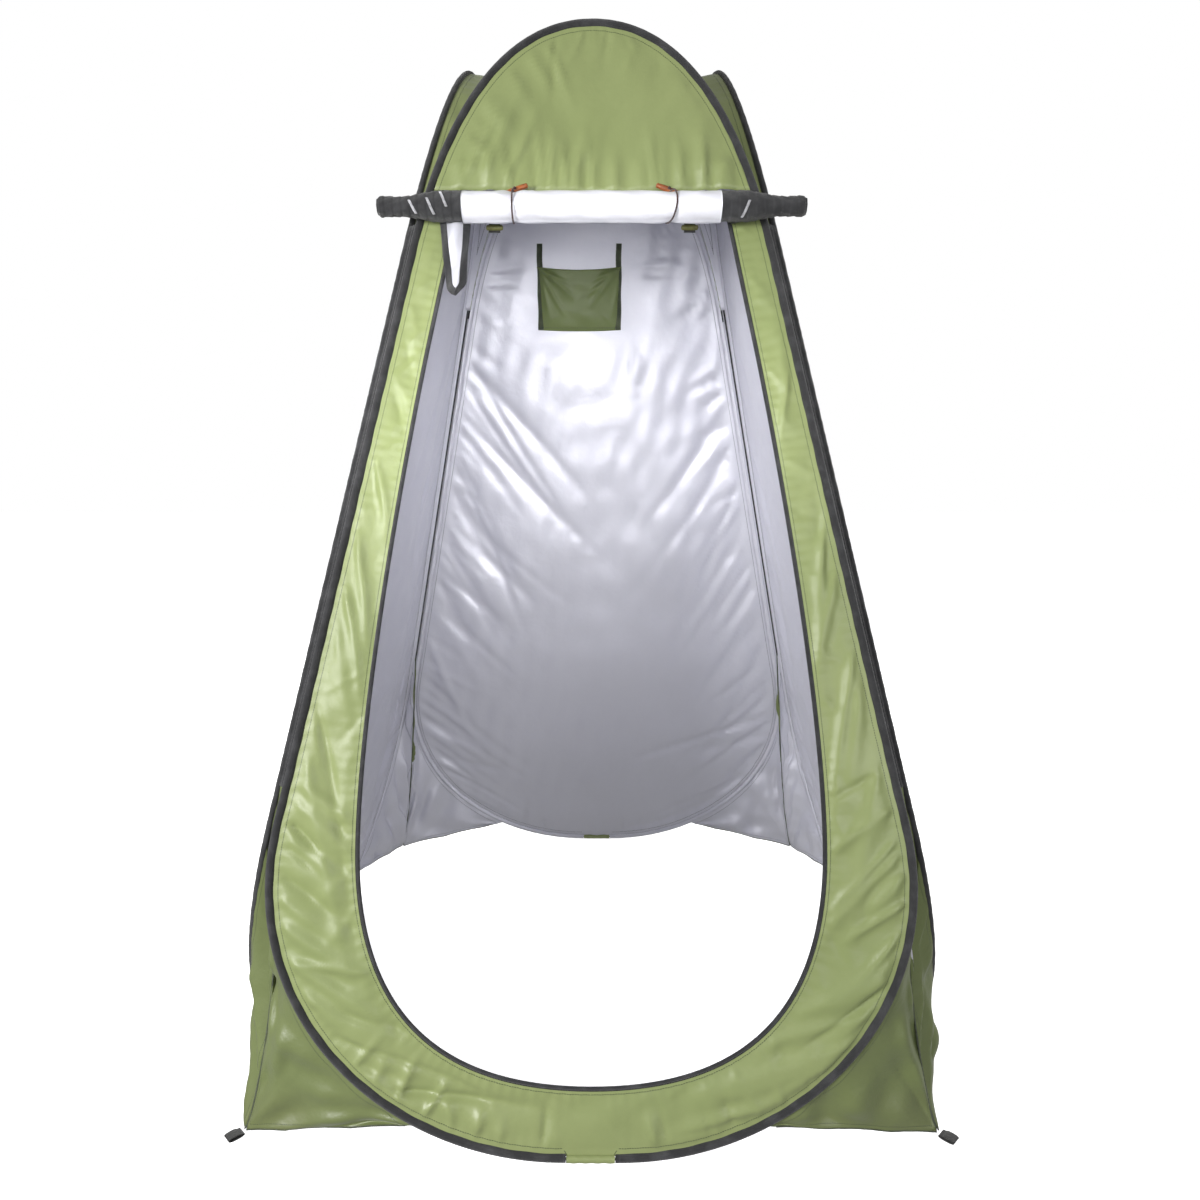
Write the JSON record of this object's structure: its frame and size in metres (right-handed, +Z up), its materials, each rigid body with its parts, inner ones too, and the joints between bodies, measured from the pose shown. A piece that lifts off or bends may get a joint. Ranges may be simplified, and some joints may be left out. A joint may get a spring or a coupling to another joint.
{
  "type": "privacy shower tent",
  "caption": "Pop-up privacy shower tent with sprung-hoop walls, silver-lined fabric, an inner pocket and a zip door rolled up over the doorway.",
  "frame": {"origin": "on the floor under the centre of the tent", "axes": "+Z up, the doorway faces -Y, +X to the right for someone facing the doorway"},
  "size_m": [1.3062, 1.3062, 1.9008],
  "materials": {
    "green_fabric": "matte",
    "skirt_fabric": "matte",
    "silver_lining": "satin",
    "black_binding": "matte",
    "seam_binding": "matte",
    "spring_steel": "satin",
    "zip_metal": "satin",
    "black_webbing": "matte",
    "dark_elastic": "matte",
    "brown_toggle": "gloss",
    "olive_bead": "matte",
    "pocket_fabric": "matte"
  },
  "bodies": {
    "front_wall_frame": {"front_hoop": "spring_steel", "front_hoop_ferrule": "spring_steel", "front_sleeve": "black_binding", "front_sleeve_patch": "green_fabric", "front_wall": "green_fabric", "front_skirt": "skirt_fabric", "front_roof": "green_fabric", "front_arch_panel": "green_fabric", "head_seam": "seam_binding", "door_zip_tape": "black_binding", "front_left_seam": "seam_binding", "front_right_seam": "seam_binding", "tie_anchor_left": "dark_elastic", "tie_anchor_right": "dark_elastic"},
    "right_wall_frame": {"right_hoop": "spring_steel", "right_hoop_ferrule": "spring_steel", "right_sleeve": "black_binding", "right_sleeve_patch": "green_fabric", "right_wall": "green_fabric", "right_skirt": "skirt_fabric", "right_roof": "green_fabric", "back_right_seam": "seam_binding"},
    "back_wall_frame": {"back_hoop": "spring_steel", "back_hoop_ferrule": "spring_steel", "back_sleeve": "black_binding", "back_sleeve_patch": "green_fabric", "back_wall": "green_fabric", "back_skirt": "skirt_fabric", "back_roof": "green_fabric", "back_left_seam": "seam_binding", "pocket": "pocket_fabric", "pocket_tapes": "black_binding"},
    "left_wall_frame": {"left_hoop": "spring_steel", "left_hoop_ferrule": "spring_steel", "left_sleeve": "black_binding", "left_sleeve_patch": "green_fabric", "left_wall": "green_fabric", "left_skirt": "skirt_fabric", "left_roof": "green_fabric"},
    "rolled_door": {"door_roll": "silver_lining", "door_zip_bundle_left": "black_binding", "door_zip_bundle_right": "black_binding", "door_loose_fold": "silver_lining", "tie_loop_left": "dark_elastic", "tie_loop_right": "dark_elastic"},
    "tie_toggle_left": {"tie_toggle_left": "brown_toggle"},
    "tie_toggle_right": {"tie_toggle_right": "brown_toggle"},
    "hang_strap_left": {"hang_strap_left": "black_webbing", "hang_bead_left": "olive_bead"},
    "hang_strap_right": {"hang_strap_right": "black_webbing", "hang_bead_right": "olive_bead"},
    "zip_slider_left": {"zip_slider_left": "zip_metal"},
    "zip_slider_right": {"zip_slider_right": "zip_metal"},
    "zip_pull_left": {"zip_pull_left": "zip_metal"},
    "zip_pull_right": {"zip_pull_right": "zip_metal"},
    "front_left_peg_loop": {"front_left_peg_loop": "black_webbing"},
    "front_right_peg_loop": {"front_right_peg_loop": "black_webbing"},
    "back_right_peg_loop": {"back_right_peg_loop": "black_webbing"},
    "back_left_peg_loop": {"back_left_peg_loop": "black_webbing"}
  },
  "joints": [
    {"name": "fold_front_right", "type": "hinge", "parent": "front_wall_frame", "child": "right_wall_frame", "pos_m": [0.63982, -0.63982, 0], "axis": [0.2055, -0.2055, -0.9568], "range_deg": [0, 70], "stiffness_Nm_per_rad": 4, "springref_deg": -22.92, "deforming": ["front_skirt", "front_roof", "right_skirt", "right_roof"]},
    {"name": "fold_front_left", "type": "hinge", "parent": "front_wall_frame", "child": "left_wall_frame", "pos_m": [-0.63982, -0.63982, 0], "axis": [-0.2055, -0.2055, -0.9568], "range_deg": [0, 72.2], "deforming": ["left_skirt", "left_roof"]},
    {"name": "fold_back_right", "type": "hinge", "parent": "right_wall_frame", "child": "back_wall_frame", "pos_m": [0.63982, 0.63982, 0], "axis": [-0.2055, -0.2055, 0.9568], "range_deg": [0, 72.2], "deforming": ["back_skirt", "back_roof"]},
    {"name": "front_left_peg_loop_slide", "type": "slide", "parent": "front_wall_frame", "child": "front_left_peg_loop", "axis": [0, -0.9777, 0.21], "range_m": [0, 0.06087]},
    {"name": "front_right_peg_loop_slide", "type": "slide", "parent": "front_wall_frame", "child": "front_right_peg_loop", "axis": [0, -0.9777, 0.21], "range_m": [0, 0.06087]},
    {"name": "back_right_peg_loop_slide", "type": "slide", "parent": "back_wall_frame", "child": "back_right_peg_loop", "axis": [0, 0.9777, 0.21], "range_m": [0, 0.06087]},
    {"name": "back_left_peg_loop_slide", "type": "slide", "parent": "back_wall_frame", "child": "back_left_peg_loop", "axis": [0, 0.9777, 0.21], "range_m": [0, 0.06087]},
    {"name": "door_roll_swing", "type": "hinge", "parent": "front_wall_frame", "child": "rolled_door", "pos_m": [0, -0.31194, 1.57453], "axis": [-1, 0, 0], "range_deg": [0, 15]},
    {"name": "tie_toggle_left_turn", "type": "hinge", "parent": "front_wall_frame", "child": "tie_toggle_left", "pos_m": [-0.134, -0.31851, 1.58631], "axis": [0, -0.9777, 0.21], "range_deg": [-40, 0]},
    {"name": "tie_toggle_right_turn", "type": "hinge", "parent": "front_wall_frame", "child": "tie_toggle_right", "pos_m": [0.134, -0.31851, 1.58631], "axis": [0, -0.9777, 0.21], "range_deg": [0, 40]},
    {"name": "hang_strap_left_swing", "type": "hinge", "parent": "front_wall_frame", "child": "hang_strap_left", "pos_m": [-0.172, -0.30376, 1.57], "axis": [1, 0, 0], "range_deg": [-8, 80]},
    {"name": "hang_strap_right_swing", "type": "hinge", "parent": "front_wall_frame", "child": "hang_strap_right", "pos_m": [0.172, -0.30376, 1.57], "axis": [1, 0, 0], "range_deg": [-8, 80]},
    {"name": "zip_slider_left_slide", "type": "slide", "parent": "front_wall_frame", "child": "zip_slider_left", "axis": [-0.1897, -0.2062, -0.96], "range_m": [0, 0.19]},
    {"name": "zip_pull_left_swing", "type": "hinge", "parent": "zip_slider_left", "child": "zip_pull_left", "pos_m": [-0.2454, -0.31177, 1.53674], "axis": [0.9818, -0.0398, -0.1854], "range_deg": [-8, 100]},
    {"name": "zip_slider_right_slide", "type": "slide", "parent": "front_wall_frame", "child": "zip_slider_right", "axis": [0.1897, -0.2062, -0.96], "range_m": [0, 0.19]},
    {"name": "zip_pull_right_swing", "type": "hinge", "parent": "zip_slider_right", "child": "zip_pull_right", "pos_m": [0.2454, -0.31177, 1.53674], "axis": [0.9818, 0.0398, 0.1854], "range_deg": [-8, 100]}
  ],
  "couplings": [
    {"joint": "fold_front_left", "follows": "fold_front_right", "ratio": 1.03},
    {"joint": "fold_back_right", "follows": "fold_front_right", "ratio": 1.03},
    {"joint": "front_left_peg_loop_slide", "follows": "fold_front_right", "m_per_rad": 0.049416},
    {"joint": "front_right_peg_loop_slide", "follows": "fold_front_right", "m_per_rad": 0.049416},
    {"joint": "back_right_peg_loop_slide", "follows": "fold_front_right", "m_per_rad": 0.049416},
    {"joint": "back_left_peg_loop_slide", "follows": "fold_front_right", "m_per_rad": 0.049416}
  ]
}
